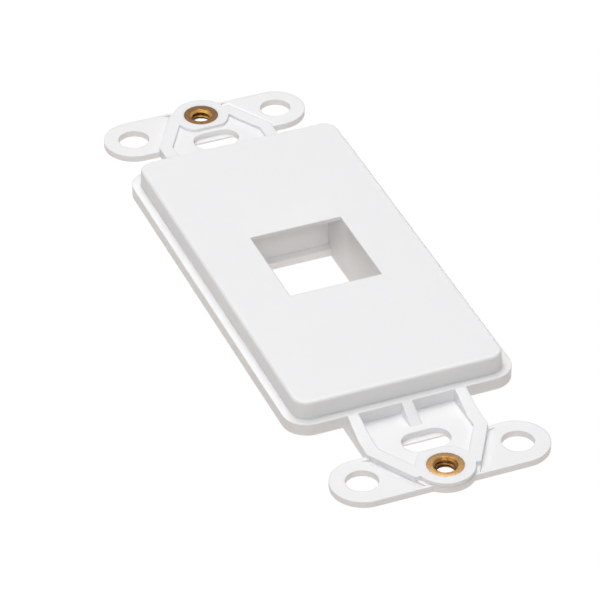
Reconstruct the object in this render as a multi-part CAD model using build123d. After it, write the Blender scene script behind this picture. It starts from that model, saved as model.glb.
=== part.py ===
from build123d import *
import math
import os

# Wall plate insert: a moulded face with one jack port, on a strap with two ears.
# X runs across the wall, Y up the wall and Z out of the wall, towards the room.
# The origin is under the middle of the insert, level with the back of the jack housing.

# Spacings that the wall box and the wall plate set
plate_screw_spacing = 96.84
box_screw_spacing = 83.34

# Face panel and the flange that the wall plate bears on
panel_width = 32.3
panel_length = 66.35
panel_corner_radius = 2.3
panel_edge_radius = 0.5
panel_rise = 2.8
panel_draft_angle = 2.7
flange_margin = 1.47
flange_thickness = 1.9
wall_thickness = 2.0
hollow_corner_radius = 1.0
rim_overlap = 0.3

# Jack port and its housing, from front to back
port_width = 14.5
port_height = 16.1
port_depth = 9.65
port_lip = 0.65
latch_pocket = 4.75
latch_catch = 1.5
catch_thickness = 1.05
lead_in = 0.55
hook_pocket = 1.4
hook_lip = 2.6
housing_wall = 1.5
housing_corner_radius = 0.8

# Strap and ears
pad_width = 18.6
pad_rise = 0.45
pad_taper_run = 7.4
pad_taper_angle = 60.0
pad_past_screw = 1.08
band_width = 2.0
ear_drop = 1.15
lobe_thickness = 1.0
lobe_offset = 1.7
lobe_width = 9.7
lobe_reach = 16.57
lobe_hole_spacing = 23.8
lobe_hole_diameter = 4.76
rail_width = 2.0

# Ribs from the flange down to the ears, over these shares of the room before the slot
rib_draft = 0.15
side_rib_share = 0.94
middle_rib_width = 1.6
middle_rib_share = 0.73

# Break-off grooves between pad and lobes
groove_width = 1.15
groove_depth = 0.35
groove_bridge = 0.75
groove_end_bridge = 0.45

# Slots for the box screws, with a thin retaining web on each long side
slot_length = 7.3
slot_width = 4.5
slot_web = 1.12
slot_land = 0.9
slot_web_thickness = 0.27

# Boss, a little wider up to the level of the lobes, and the brass insert pressed into it
boss_radius = 4.33
boss_ledge = 0.09
insert_collar_radius = 2.69
insert_collar_thickness = 0.5
insert_body_radius = 2.4
insert_clearance = 0.02
thread_major_diameter = 3.51
thread_minor_diameter = 2.75
knurl_grooves = 18
knurl_depth = 0.15

# Levels, measured from the back of the housing
face_level = port_depth
flange_top = face_level - panel_rise
flange_under = flange_top - flange_thickness
ear_under = flange_under - ear_drop
lobe_top = ear_under + lobe_thickness
pad_top = flange_under + pad_rise
insert_collar_under = pad_top - insert_collar_thickness
ceiling = face_level - wall_thickness

# Places worked out from the sizes above
flange_half_length = panel_length / 2 + flange_margin
inner_half_length = panel_length / 2 - wall_thickness
boss_centre = plate_screw_spacing / 2
lobe_centre = boss_centre - lobe_offset
pad_end = boss_centre + pad_past_screw
pad_taper_start = pad_end - pad_taper_run
slot_centre = box_screw_spacing / 2
rib_room = slot_centre - slot_width / 2 - flange_half_length
side_rib_run = side_rib_share * rib_room
middle_rib_run = middle_rib_share * rib_room
port_side = port_width / 2
port_edge = port_height / 2
latch_wall = port_edge + latch_pocket
latch_catch_edge = latch_wall - latch_catch
catch_top = lead_in + catch_thickness
cut_margin = 1.0


def block(x_low, x_high, y_low, y_high, z_low, z_high):
    """A plain block between two corners."""
    middle = ((x_low + x_high) / 2, (y_low + y_high) / 2, (z_low + z_high) / 2)
    return Pos(*middle) * Box(x_high - x_low, y_high - y_low, z_high - z_low)


def raised(outline, z_low, z_high):
    """An outline in the XY plane, pushed up from one level to another."""
    return extrude(Pos(0, 0, z_low) * outline, amount=z_high - z_low)


def along_x(points, x_low, x_high):
    """A closed outline of (y, z) points, pushed along X."""
    face = make_face(Polyline([(x_low, y, z) for y, z in points], close=True))
    return extrude(face, amount=x_high - x_low, dir=(1, 0, 0))


def face_panel():
    """The raised face with drafted walls and a soft front edge."""
    foot_growth = 2 * panel_rise * math.tan(math.radians(panel_draft_angle))
    foot = RectangleRounded(
        panel_width + foot_growth, panel_length + foot_growth, panel_corner_radius + foot_growth / 2
    )
    upper = extrude(Pos(0, 0, flange_top) * foot, amount=panel_rise, taper=panel_draft_angle)
    return fillet(upper.faces().sort_by(Axis.Z)[-1].edges(), panel_edge_radius)


def flange():
    """The rim round the panel that the wall plate bears on."""
    outline = RectangleRounded(
        panel_width + 2 * flange_margin,
        panel_length + 2 * flange_margin,
        panel_corner_radius + flange_margin,
    )
    return raised(outline, flange_under, flange_top)


def panel_hollow():
    """The hollow behind the face, open to the back."""
    outline = RectangleRounded(
        panel_width - 2 * wall_thickness, panel_length - 2 * wall_thickness, hollow_corner_radius
    )
    return raised(outline, flange_under - cut_margin, ceiling)


def jack_housing():
    """The block behind the face that holds the jack, as wide as the strap."""
    half_width = pad_width / 2
    low_side = port_edge + hook_pocket + housing_wall
    high_side = latch_wall + housing_wall
    housing = block(-half_width, half_width, -low_side, high_side, 0, ceiling)
    return fillet(housing.edges().filter_by(Axis.Z), housing_corner_radius)


def port_void():
    """The space that the jack fills, seen from the side: hook pocket below, latch pocket above."""
    hook_wall = port_edge + hook_pocket
    side_view = [
        (-port_edge, face_level + cut_margin),
        (-port_edge, face_level - hook_lip),
        (-hook_wall, face_level - hook_lip),
        (-hook_wall, catch_top),
        (-port_edge, catch_top),
        (-port_edge, lead_in),
        (-port_edge - lead_in, 0),
        (latch_catch_edge + lead_in, 0),
        (latch_catch_edge, lead_in),
        (latch_catch_edge, catch_top),
        (latch_wall, catch_top),
        (latch_wall, face_level - port_lip),
        (port_edge, face_level - port_lip),
        (port_edge, face_level + cut_margin),
    ]
    return along_x(side_view, -port_side, port_side)


def strap_rails():
    """Two side rails and a middle web, from one end wall of the hollow to the other."""
    half_width = pad_width / 2
    reach = inner_half_length + rim_overlap
    left = block(-half_width, -half_width + rail_width, -reach, reach, ear_under, ceiling)
    middle_half = middle_rib_width / 2
    middle = block(-middle_half, middle_half, -reach, reach, flange_under, ceiling)
    return left + left.mirror(Plane.YZ) + middle


def pad_outline():
    """Plan of the pad: straight sides that close in towards the boss."""
    half_width = pad_width / 2
    end_half_width = half_width - pad_taper_run / math.tan(math.radians(pad_taper_angle))
    start = inner_half_length
    corners = [
        (half_width, start),
        (half_width, pad_taper_start),
        (end_half_width, pad_end),
        (-end_half_width, pad_end),
        (-half_width, pad_taper_start),
        (-half_width, start),
    ]
    return make_face(Polyline(corners, close=True))


def boss_outline(radius):
    return Pos(0, boss_centre) * Circle(radius)


def lobe_outline():
    """Plan of the two lobes: one bar with round ends behind the boss."""
    return Pos(0, lobe_centre) * SlotOverall(2 * lobe_reach, lobe_width)


def recess_outline():
    """Plan of the sunken floor inside the pad, clear of the boss."""
    inner = offset(pad_outline(), amount=-band_width, kind=Kind.INTERSECTION)
    flat = slot_centre + slot_width / 2 + slot_land
    start = flange_half_length
    before_boss = Pos(0, (start + flat) / 2) * Rectangle(pad_width, flat - start)
    past_flange = Pos(0, (start + pad_end) / 2) * Rectangle(pad_width, pad_end - start)
    return (inner & before_boss) + ((inner & past_flange) - boss_outline(boss_radius))


def rib(x_low, x_high, run, foot_level):
    """A drafted rib whose top slopes from the flange down to the ear."""
    section = [
        (x_low, flange_half_length - rim_overlap, flange_under),
        (x_high, flange_half_length - rim_overlap, flange_under),
        (x_high - rib_draft, flange_half_length - rim_overlap, flange_top),
        (x_low + rib_draft, flange_half_length - rim_overlap, flange_top),
    ]
    bar = extrude(make_face(Polyline(section, close=True)), amount=run + rim_overlap, dir=(0, 1, 0))
    foot = flange_half_length + run
    slope = (flange_top - foot_level) / run
    past = foot + cut_margin
    above_slope = [
        (flange_half_length, flange_top),
        (past, foot_level - slope * cut_margin),
        (past, flange_top + cut_margin),
        (flange_half_length, flange_top + cut_margin),
    ]
    return bar - along_x(above_slope, x_low - cut_margin, x_high + cut_margin)


def ear_ribs():
    """Two side ribs that run into the pad's bands, and one in the middle of the recess."""
    half_width = pad_width / 2
    right = rib(half_width - band_width, half_width, side_rib_run, pad_top)
    middle_half = middle_rib_width / 2 + rib_draft
    middle = rib(-middle_half, middle_half, middle_rib_run, flange_under)
    return right + right.mirror(Plane.YZ) + middle


def break_off_groove():
    """The V groove along the right side of the pad, that lets the lobe be snapped off."""
    angle = math.radians(pad_taper_angle)
    start = Vector(pad_width / 2, pad_taper_start, lobe_top)
    along = Vector(-math.cos(angle), math.sin(angle), 0)
    outward = Vector(math.sin(angle), math.cos(angle), 0)
    plane = Plane(origin=start, x_dir=outward, z_dir=along)
    up = plane.y_dir.Z
    profile = [
        (0, cut_margin * up),
        (0, -groove_depth * up),
        (groove_width, 0),
        (groove_width, cut_margin * up),
    ]
    prism = extrude(plane * make_face(Polyline(profile, close=True)), amount=2 * lobe_width)
    low = lobe_centre - lobe_width / 2 + groove_bridge
    high = lobe_centre + lobe_width / 2 - groove_end_bridge
    return prism & block(0, pad_width, low, high, ear_under, pad_top + cut_margin)


def screw_slot():
    """The oval slot through the ear for the screw of the wall box."""
    oval = SlotOverall(slot_length, slot_width)
    return Pos(0, slot_centre, 0) * raised(oval, ear_under - cut_margin, pad_top + cut_margin)


def slot_webs():
    """Two thin webs that narrow the slot at the back, one along each long side."""
    web_width = slot_web + rim_overlap
    spacing = slot_width - 2 * slot_web + web_width
    bars = GridLocations(0, spacing, 1, 2) * Rectangle(slot_length, web_width)
    web_top = ear_under + slot_web_thickness
    return Pos(0, slot_centre, 0) * raised(Sketch() + list(bars), ear_under, web_top)


def insert_pocket():
    """The stepped hole in the boss that the brass insert fills."""
    collar_outline = boss_outline(insert_collar_radius + insert_clearance)
    body_outline = boss_outline(insert_body_radius + insert_clearance)
    collar = raised(collar_outline, insert_collar_under, pad_top + cut_margin)
    body = raised(body_outline, ear_under - cut_margin, pad_top + cut_margin)
    return collar + body


def lobe_holes():
    holes = GridLocations(lobe_hole_spacing, 0, 2, 1) * Circle(lobe_hole_diameter / 2)
    return Pos(0, lobe_centre, 0) * raised(Sketch() + list(holes), ear_under - cut_margin, pad_top)


def upper_ear():
    """The ear at the top of the strap: lobes, pad, boss and ribs, with what is cut in them."""
    lobes = raised(lobe_outline(), ear_under, lobe_top)
    pad = raised(pad_outline(), ear_under, pad_top)
    boss = raised(boss_outline(boss_radius), ear_under, pad_top)
    boss += raised(boss_outline(boss_radius + boss_ledge), ear_under, lobe_top)
    recess = raised(recess_outline(), flange_under, pad_top + cut_margin)
    groove = break_off_groove()
    ear = lobes + pad + boss - recess + ear_ribs()
    ear = ear - groove - groove.mirror(Plane.YZ) - screw_slot() + slot_webs()
    return ear - insert_pocket() - lobe_holes()


def insert_body():
    """The whole white moulding: panel, flange, jack housing, strap and both ears."""
    shell = face_panel() + flange() - panel_hollow()
    ear = upper_ear()
    body = shell + jack_housing() + strap_rails() + ear + ear.mirror(Plane.XZ)
    return body - port_void()


def threaded_insert(centre_y):
    """A brass insert with a flat collar, a knurled body and a hole at its thread's minor diameter."""
    minor = thread_minor_diameter / 2
    mouth = thread_major_diameter / 2
    half_section = [
        (minor, ear_under),
        (insert_body_radius, ear_under),
        (insert_body_radius, insert_collar_under),
        (insert_collar_radius, insert_collar_under),
        (insert_collar_radius, pad_top),
        (mouth, pad_top),
        (minor, pad_top - (mouth - minor)),
    ]
    outline = make_face(Polyline([(r, 0, z) for r, z in half_section], close=True))
    insert = revolve(outline, Axis.Z)
    groove_side = knurl_depth * math.sqrt(2)
    groove_middle = (ear_under + insert_collar_under) / 2
    groove_cutter = Rot(0, 0, 45) * Box(groove_side, groove_side, insert_collar_under - ear_under)
    groove = Pos(insert_body_radius, 0, groove_middle) * groove_cutter
    insert -= [Rot(0, 0, 360 / knurl_grooves * k) * groove for k in range(knurl_grooves)]
    return Pos(0, centre_y, 0) * insert


os.makedirs("parts", exist_ok=True)
export_step(insert_body(), "parts/insert_body.step")
export_step(threaded_insert(boss_centre), "parts/upper_threaded_insert.step")
export_step(threaded_insert(-boss_centre), "parts/lower_threaded_insert.step")
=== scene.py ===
import math

import bmesh
import bpy
from mathutils import Matrix, Vector


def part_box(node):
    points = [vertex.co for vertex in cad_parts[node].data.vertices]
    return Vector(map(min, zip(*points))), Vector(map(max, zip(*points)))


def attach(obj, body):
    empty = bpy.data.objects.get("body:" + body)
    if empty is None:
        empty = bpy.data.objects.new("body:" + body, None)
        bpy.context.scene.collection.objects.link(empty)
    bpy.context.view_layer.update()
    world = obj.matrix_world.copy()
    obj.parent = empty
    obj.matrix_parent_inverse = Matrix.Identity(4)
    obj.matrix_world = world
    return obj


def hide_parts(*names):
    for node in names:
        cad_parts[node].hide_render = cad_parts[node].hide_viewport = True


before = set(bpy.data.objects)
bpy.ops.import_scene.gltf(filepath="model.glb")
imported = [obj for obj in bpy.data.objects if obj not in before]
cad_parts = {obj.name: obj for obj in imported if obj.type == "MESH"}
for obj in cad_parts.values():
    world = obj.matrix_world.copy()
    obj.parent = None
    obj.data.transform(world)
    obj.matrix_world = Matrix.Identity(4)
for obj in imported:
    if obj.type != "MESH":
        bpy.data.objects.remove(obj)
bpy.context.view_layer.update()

# Lengths are in metres, angles in degrees and colours linear, where a heading says nothing else

# Camera: where it stands, what it looks at, its small tilt to one side, and how near and far it sees
camera_place = Vector((-0.18239, -0.4585, 0.3557))
camera_aim = Vector((-0.00141, 0.00295, 0.0))
camera_roll = -0.647
camera_nearest = 0.01
camera_farthest = 20.0

# Lens: its focal length and the photo's side in pixels, and the sensor's width in millimetres
focal_pixels = 4068.9
photo_size = 600
sensor_width = 36.0

# Moulded body: how close points are joined, and how level two sides are that become one face
body_weld = 0.000002
body_flat_angle = 1.0

# Brass inserts: the plate screws' thread, in which a crest and a root take a share of each pitch
thread_pitch = 0.000794
thread_major_radius = 0.001755
thread_minor_radius = 0.001375
thread_crest_share = 0.26
thread_root_share = 0.08

# Brass inserts: the mesh's steps in a pitch and in a turn, and how close points are joined
steps_per_pitch = 16
steps_round = 144
insert_weld = 0.0000015

# Brass inserts: the bore's mouth and foot
mouth_margin = 0.00008
mouth_slope = 1.3
foot_chamfer = 0.00006
foot_runout = 0.00025

# Brass inserts: the collar with its slightly crowned face, and the knurled body below it
collar_thickness = 0.0005
face_crown = 0.00004
face_steps = 6
body_radius = 0.0024
knurl_grooves = 36
knurl_depth = 0.00008

# Most of a noise texture's values lie between these two
noise_low = 0.3
noise_high = 0.7

# White plastic: its clouding, its gloss, and how much light goes into it and how far
plastic_colour = (0.86, 0.86, 0.868)
plastic_clouding = 0.008
plastic_roughness = (0.34, 0.44)
plastic_refraction = 1.49
plastic_inner_light = 0.5
plastic_light_reach = (0.0011, 0.0010, 0.0009)
plastic_reach_scale = 0.6

# White plastic: patches of its textures in a metre, and the height and strength of its grain
clouds_per_metre = 90.0
wear_per_metre = 700.0
grain_per_metre = 5200.0
grain_height = 0.00001
grain_strength = 0.25

# White plastic: the moulded edges catch the light as if rounded by this radius
edge_radius = 0.00022
edge_samples = 6

# Brass: its darkest and lightest spots as shares of its colour, and its gloss
brass_darkest = 0.80
brass_lightest = 1.15
brass_roughness = (0.20, 0.32)

# Brass: patches of its textures in a metre, and the height and strength of its turning marks
tarnish_per_metre = 1300.0
marks_per_metre = 2500.0
mark_height = 0.00001
mark_strength = 0.12

# Brass: the bore gets painted shade up to the first tilt and a painted highlight from the second, 0 for
# a wall and 1 for level
bore_shade_tilt = 0.15
flank_highlight_tilt = 0.65

# Brass: below its top the face keeps its own colour to the first depth, and by the second gives way to
# the bore's painted shade and highlight
face_depth = 0.00002
face_end_depth = 0.00010

# Brass: the colours of each insert's face, the painted highlight on its thread's upward flanks, and the
# bore's painted shade
lower_brass_colour = (0.37, 0.215, 0.085)
# The upper insert's face is the same brass as the lower's, painted darker: painted shade
upper_brass_shaded_colour = (0.215, 0.110, 0.042)
lower_flank_highlight_colour = (0.24, 0.115, 0.032)
upper_flank_highlight_colour = (0.44, 0.235, 0.065)
painted_bore_shade_colour = (0.055, 0.022, 0.009)

# The turn, from 0 to 1, where an edge of the thread's crest is level with the bore's mouth
lower_thread_start = 0.758
upper_thread_start = 0.935

# Each insert: its face's colour, its flanks' painted highlight colour and its thread's start
inserts = [
    ("lower_threaded_insert", lower_brass_colour, lower_flank_highlight_colour, lower_thread_start),
    ("upper_threaded_insert", upper_brass_shaded_colour, upper_flank_highlight_colour, upper_thread_start),
]

# Floor: it glows softly from below, and where it is seen it is nearly plain white
floor_half_width = 3.0
floor_drop = 0.00002
floor_colour = (0.15, 0.15, 0.15)
floor_glow_colour = (1.0, 0.91, 0.84)
floor_glow = 0.645
floor_white_share = 0.80
floor_white_strength = 1.10

# Lamps and sky
no_light = (0.0, 0.0, 0.0)
plain_white = (1.0, 1.0, 1.0)
lamp_size = 0.8

# Three large soft lamps round the object: their names, places and watts
lamps = [
    ("overhead_lamp", (0.05, 0.35, 0.94), 7.3),
    ("front_lamp", (-0.10, -0.70, 0.70), 3.6),
    ("left_lamp", (-0.70, -0.10, 0.70), 2.0),
]


def shade(colour, share=1.0):
    """A colour as a shader takes it, made darker or lighter by a share."""
    return (*[part * share for part in colour], 1.0)


def new_material(name):
    """A node material that holds only its shader and output."""
    material = bpy.data.materials.new(name)
    material.use_nodes = True
    nodes = material.node_tree.nodes
    nodes.clear()
    output = nodes.new("ShaderNodeOutputMaterial")
    shader = nodes.new("ShaderNodeBsdfPrincipled")
    material.node_tree.links.new(shader.outputs["BSDF"], output.inputs["Surface"])
    return material, shader


def add_noise(material, scale, detail):
    """A noise texture laid over the object's own coordinates."""
    nodes = material.node_tree.nodes
    place = nodes.new("ShaderNodeTexCoord")
    noise = nodes.new("ShaderNodeTexNoise")
    noise.inputs["Scale"].default_value = scale
    noise.inputs["Detail"].default_value = detail
    material.node_tree.links.new(place.outputs["Object"], noise.inputs["Vector"])
    return noise.outputs["Fac"]


def colour_mix(material, share):
    """A mix of two colours by a share that a node gives."""
    mix = material.node_tree.nodes.new("ShaderNodeMix")
    mix.data_type = "RGBA"
    material.node_tree.links.new(share, mix.inputs["Factor"])
    return mix


def spread(material, value, low, high):
    """Map a noise texture's middle range onto low..high."""
    ramp = material.node_tree.nodes.new("ShaderNodeMapRange")
    ramp.inputs["From Min"].default_value = noise_low
    ramp.inputs["From Max"].default_value = noise_high
    ramp.inputs["To Min"].default_value = low
    ramp.inputs["To Max"].default_value = high
    material.node_tree.links.new(value, ramp.inputs["Value"])
    return ramp.outputs["Result"]


def fade_along_z(material, vector, low, high):
    """0 where a vector's Z is low, rising to 1 where it is high."""
    nodes = material.node_tree.nodes
    links = material.node_tree.links
    parts = nodes.new("ShaderNodeSeparateXYZ")
    links.new(vector, parts.inputs["Vector"])
    fade = nodes.new("ShaderNodeMapRange")
    fade.interpolation_type = "SMOOTHSTEP"
    fade.inputs["From Min"].default_value = low
    fade.inputs["From Max"].default_value = high
    links.new(parts.outputs["Z"], fade.inputs["Value"])
    return fade.outputs["Result"]


def add_bump(material, shader, texture, height, strength):
    """Raise the surface by a texture."""
    bump = material.node_tree.nodes.new("ShaderNodeBump")
    bump.inputs["Distance"].default_value = height
    bump.inputs["Strength"].default_value = strength
    material.node_tree.links.new(texture, bump.inputs["Height"])
    material.node_tree.links.new(bump.outputs["Normal"], shader.inputs["Normal"])
    return bump


def soften_edges(material, bump):
    """Shade the sharp edges as if they were rounded, under the bump."""
    soft = material.node_tree.nodes.new("ShaderNodeBevel")
    soft.samples = edge_samples
    soft.inputs["Radius"].default_value = edge_radius
    material.node_tree.links.new(soft.outputs["Normal"], bump.inputs["Normal"])


def plastic_material():
    """White moulded plastic: faint clouding, a fine eggshell grain and a soft gloss."""
    material, shader = new_material("moulded_white_plastic")
    links = material.node_tree.links
    tint = colour_mix(material, add_noise(material, clouds_per_metre, detail=3.0))
    tint.inputs["A"].default_value = shade(plastic_colour, 1.0 - plastic_clouding)
    tint.inputs["B"].default_value = shade(plastic_colour, 1.0 + plastic_clouding)
    links.new(tint.outputs["Result"], shader.inputs["Base Color"])
    wear = add_noise(material, wear_per_metre, detail=4.0)
    links.new(spread(material, wear, *plastic_roughness), shader.inputs["Roughness"])
    shader.inputs["IOR"].default_value = plastic_refraction
    shader.inputs["Subsurface Weight"].default_value = plastic_inner_light
    shader.inputs["Subsurface Radius"].default_value = plastic_light_reach
    shader.inputs["Subsurface Scale"].default_value = plastic_reach_scale
    grain = add_noise(material, grain_per_metre, detail=2.0)
    bump = add_bump(material, shader, grain, grain_height, grain_strength)
    soften_edges(material, bump)
    return material


def brass_material(name, colour, flank_highlight_colour, face_top):
    """Turned brass, slightly tarnished, with painted shade on the bore's walls and downward faces and
    painted highlights on the thread's upward flanks.
    """
    material, shader = new_material(name)
    nodes = material.node_tree.nodes
    links = material.node_tree.links
    shader.inputs["Metallic"].default_value = 1.0
    tint = colour_mix(material, add_noise(material, tarnish_per_metre, detail=4.0))
    tint.inputs["A"].default_value = shade(colour, brass_darkest)
    tint.inputs["B"].default_value = shade(colour, brass_lightest)
    # Painted shade and highlight: faces turned sideways or down take the dark bore colour, faces turned
    # up the bright flank colour
    normal = nodes.new("ShaderNodeNewGeometry").outputs["Normal"]
    bore = colour_mix(material, fade_along_z(material, normal, bore_shade_tilt, flank_highlight_tilt))
    bore.inputs["A"].default_value = shade(painted_bore_shade_colour)
    bore.inputs["B"].default_value = shade(flank_highlight_colour)
    # Below the face's depth the colour is this painted shade and highlight, not the brass's own
    place = nodes.new("ShaderNodeTexCoord").outputs["Object"]
    face_share = fade_along_z(material, place, face_top - face_end_depth, face_top - face_depth)
    face = colour_mix(material, face_share)
    links.new(bore.outputs["Result"], face.inputs["A"])
    links.new(tint.outputs["Result"], face.inputs["B"])
    links.new(face.outputs["Result"], shader.inputs["Base Color"])
    marks = add_noise(material, marks_per_metre, detail=5.0)
    links.new(spread(material, marks, *brass_roughness), shader.inputs["Roughness"])
    add_bump(material, shader, marks, mark_height, mark_strength)
    return material


def use_material(piece, material):
    """Give a piece one material in place of any that it has."""
    piece.data.materials.clear()
    piece.data.materials.append(material)


def link_mesh(name, mesh):
    """A scene object that holds a finished mesh."""
    piece = bpy.data.objects.new(name, mesh)
    bpy.context.scene.collection.objects.link(piece)
    return piece


def moulded_body(material):
    """The moulded body, with each of its flat sides joined into one clean face."""
    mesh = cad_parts["insert_body"].data.copy()
    mesh.name = "moulded_body"
    shape = bmesh.new()
    shape.from_mesh(mesh)
    bmesh.ops.remove_doubles(shape, verts=shape.verts, dist=body_weld)
    flat_angle = math.radians(body_flat_angle)
    bmesh.ops.dissolve_limit(shape, angle_limit=flat_angle, verts=shape.verts, edges=shape.edges)
    shape.to_mesh(mesh)
    shape.free()
    piece = link_mesh("moulded_body", mesh)
    use_material(piece, material)
    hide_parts("insert_body")
    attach(piece, "root")


def thread_radius(turn, depth, thread_start):
    """Radius of the threaded wall at a turn (0 to 1 round the bore) and a depth below its mouth."""
    phase = (thread_start - depth / thread_pitch - turn) % 1.0
    flank = (1.0 - thread_crest_share - thread_root_share) / 2
    if phase < thread_crest_share:
        cut = 0.0
    elif phase < thread_crest_share + flank:
        cut = (phase - thread_crest_share) / flank
    elif phase < thread_crest_share + flank + thread_root_share:
        cut = 1.0
    else:
        cut = (1.0 - phase) / flank
    return thread_minor_radius + cut * (thread_major_radius - thread_minor_radius)


def insert_outline(turn, collar_radius, foot, top):
    """Outer outline of the insert at one turn, from the foot of the bore to its mouth."""
    groove = 0.5 + 0.5 * math.cos(2 * math.pi * turn * knurl_grooves)
    knurl_radius = body_radius - knurl_depth * groove
    collar_foot = top - collar_thickness
    points = [
        (thread_minor_radius + foot_chamfer, foot),
        (body_radius - 2 * knurl_depth, foot),
        (knurl_radius, foot + knurl_depth),
        (knurl_radius, collar_foot),
        (collar_radius, collar_foot),
    ]
    mouth_radius = thread_major_radius + mouth_margin
    for step in range(face_steps, -1, -1):
        share = step / face_steps
        radius = mouth_radius + share * (collar_radius - mouth_radius)
        points.append((radius, top - face_crown * share ** 2))
    return points


def bore_wall(turn, foot, top, thread_start):
    """The threaded wall at one turn, from its mouth down to its foot, in steps that follow the helix."""
    points = []
    pitches = math.ceil((top - foot) / thread_pitch) + 1
    for step in range(pitches * steps_per_pitch, -1, -1):
        height = thread_pitch * (step / steps_per_pitch + turn - 1.0)
        height = min(max(height, 0.0), top - foot)
        depth = top - foot - height
        runout = min(1.0, height / foot_runout)
        cut = thread_radius(turn, depth, thread_start) - thread_minor_radius
        thread = thread_minor_radius + runout * cut
        mouth_cone = thread_major_radius + mouth_margin - mouth_slope * depth
        foot_cone = thread_minor_radius + foot_chamfer - height
        points.append((max(thread, mouth_cone, foot_cone), foot + height))
    return points


def threaded_insert(node, material, thread_start):
    """One brass insert with a real thread, in the place of its plain solid."""
    low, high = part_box(node)
    centre = (low + high) / 2
    collar_radius = (high.x - low.x) / 2
    shape = bmesh.new()
    columns = []
    for step in range(steps_round + 1):
        turn = step / steps_round
        angle = 2 * math.pi * turn
        outline = insert_outline(turn, collar_radius, low.z, high.z)
        outline += bore_wall(turn, low.z, high.z, thread_start)
        column = []
        for radius, height in outline:
            place = (centre.x + radius * math.cos(angle), centre.y + radius * math.sin(angle), height)
            column.append(shape.verts.new(place))
        columns.append(column)
    for left, right in zip(columns, columns[1:]):
        for row in range(len(left)):
            after = (row + 1) % len(left)
            shape.faces.new((left[row], right[row], right[after], left[after]))
    bmesh.ops.remove_doubles(shape, verts=shape.verts, dist=insert_weld)
    bmesh.ops.recalc_face_normals(shape, faces=shape.faces)
    mesh = bpy.data.meshes.new(node + "_threaded")
    shape.to_mesh(mesh)
    shape.free()
    piece = link_mesh(node + "_threaded", mesh)
    use_material(piece, material)
    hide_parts(node)
    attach(piece, "root")


def seen_directly(tree):
    """1 for what is seen directly, mirrored or through something clear, and 0 for all other rays."""
    nodes = tree.nodes
    links = tree.links
    path = nodes.new("ShaderNodeLightPath")
    seen = path.outputs["Is Camera Ray"]
    for ray in ("Is Glossy Ray", "Is Transmission Ray"):
        either = nodes.new("ShaderNodeMath")
        either.operation = "MAXIMUM"
        links.new(seen, either.inputs[0])
        links.new(path.outputs[ray], either.inputs[1])
        seen = either.outputs["Value"]
    return seen


def show_white(material, shader, share, strength):
    """Where it is seen, a surface is plain white by a share, and keeps its shading for the rest."""
    nodes = material.node_tree.nodes
    links = material.node_tree.links
    part = nodes.new("ShaderNodeMath")
    part.operation = "MULTIPLY"
    part.inputs[1].default_value = share
    links.new(seen_directly(material.node_tree), part.inputs[0])
    white = nodes.new("ShaderNodeEmission")
    white.inputs["Color"].default_value = shade(plain_white)
    white.inputs["Strength"].default_value = strength
    mix = nodes.new("ShaderNodeMixShader")
    links.new(part.outputs["Value"], mix.inputs["Fac"])
    links.new(shader.outputs["BSDF"], mix.inputs[1])
    links.new(white.outputs["Emission"], mix.inputs[2])
    links.new(mix.outputs["Shader"], nodes["Material Output"].inputs["Surface"])


def add_floor():
    """A wide floor just below the object, which glows softly and keeps the object's shadow."""
    signs = ((-1, -1), (1, -1), (1, 1), (-1, 1))
    corners = [(x * floor_half_width, y * floor_half_width, -floor_drop) for x, y in signs]
    mesh = bpy.data.meshes.new("studio_floor")
    mesh.from_pydata(corners, [], [(0, 1, 2, 3)])
    floor = link_mesh("studio_floor", mesh)
    material, shader = new_material("studio_floor")
    shader.inputs["Base Color"].default_value = shade(floor_colour)
    shader.inputs["Roughness"].default_value = 1.0
    shader.inputs["Specular IOR Level"].default_value = 0.0
    shader.inputs["Emission Color"].default_value = shade(floor_glow_colour)
    shader.inputs["Emission Strength"].default_value = floor_glow
    show_white(material, shader, floor_white_share, floor_white_strength)
    use_material(floor, material)


def add_sky():
    """A sky that is white to look at and gives no light."""
    world = bpy.data.worlds.new("studio_sky")
    bpy.context.scene.world = world
    world.use_nodes = True
    nodes = world.node_tree.nodes
    links = world.node_tree.links
    dark = nodes["Background"]
    dark.inputs["Color"].default_value = shade(no_light)
    dark.inputs["Strength"].default_value = 0.0
    white = nodes.new("ShaderNodeBackground")
    white.inputs["Color"].default_value = shade(plain_white)
    white.inputs["Strength"].default_value = 1.0
    mix = nodes.new("ShaderNodeMixShader")
    links.new(seen_directly(world.node_tree), mix.inputs["Fac"])
    links.new(dark.outputs["Background"], mix.inputs[1])
    links.new(white.outputs["Background"], mix.inputs[2])
    links.new(mix.outputs["Shader"], nodes["World Output"].inputs["Surface"])


def add_lamp(name, place, power):
    """A large soft lamp that shines at the middle of the object."""
    lamp = bpy.data.lights.new(name, "AREA")
    lamp.shape = "DISK"
    lamp.size = lamp_size
    lamp.energy = power
    lamp.color = plain_white
    holder = bpy.data.objects.new(name, lamp)
    bpy.context.scene.collection.objects.link(holder)
    holder.location = place
    holder.rotation_euler = (-Vector(place)).to_track_quat("-Z", "Y").to_euler()


def add_camera():
    """The camera that took the photograph, found from the insert's straight edges."""
    lens = bpy.data.cameras.new("photo_camera")
    lens.sensor_width = sensor_width
    lens.lens = focal_pixels / photo_size * sensor_width
    lens.clip_start = camera_nearest
    lens.clip_end = camera_farthest
    camera = bpy.data.objects.new("photo_camera", lens)
    bpy.context.scene.collection.objects.link(camera)
    turn = (camera_aim - camera_place).to_track_quat("-Z", "Y").to_matrix().to_4x4()
    roll = Matrix.Rotation(math.radians(camera_roll), 4, "Z")
    camera.matrix_world = Matrix.Translation(camera_place) @ turn @ roll
    bpy.context.scene.camera = camera


moulded_body(plastic_material())
for node, colour, flank_highlight_colour, thread_start in inserts:
    face_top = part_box(node)[1].z
    brass = brass_material(node + "_brass", colour, flank_highlight_colour, face_top)
    threaded_insert(node, brass, thread_start)
add_floor()
add_sky()
for name, place, power in lamps:
    add_lamp(name, place, power)
add_camera()
bpy.context.scene.view_settings.view_transform = "Standard"
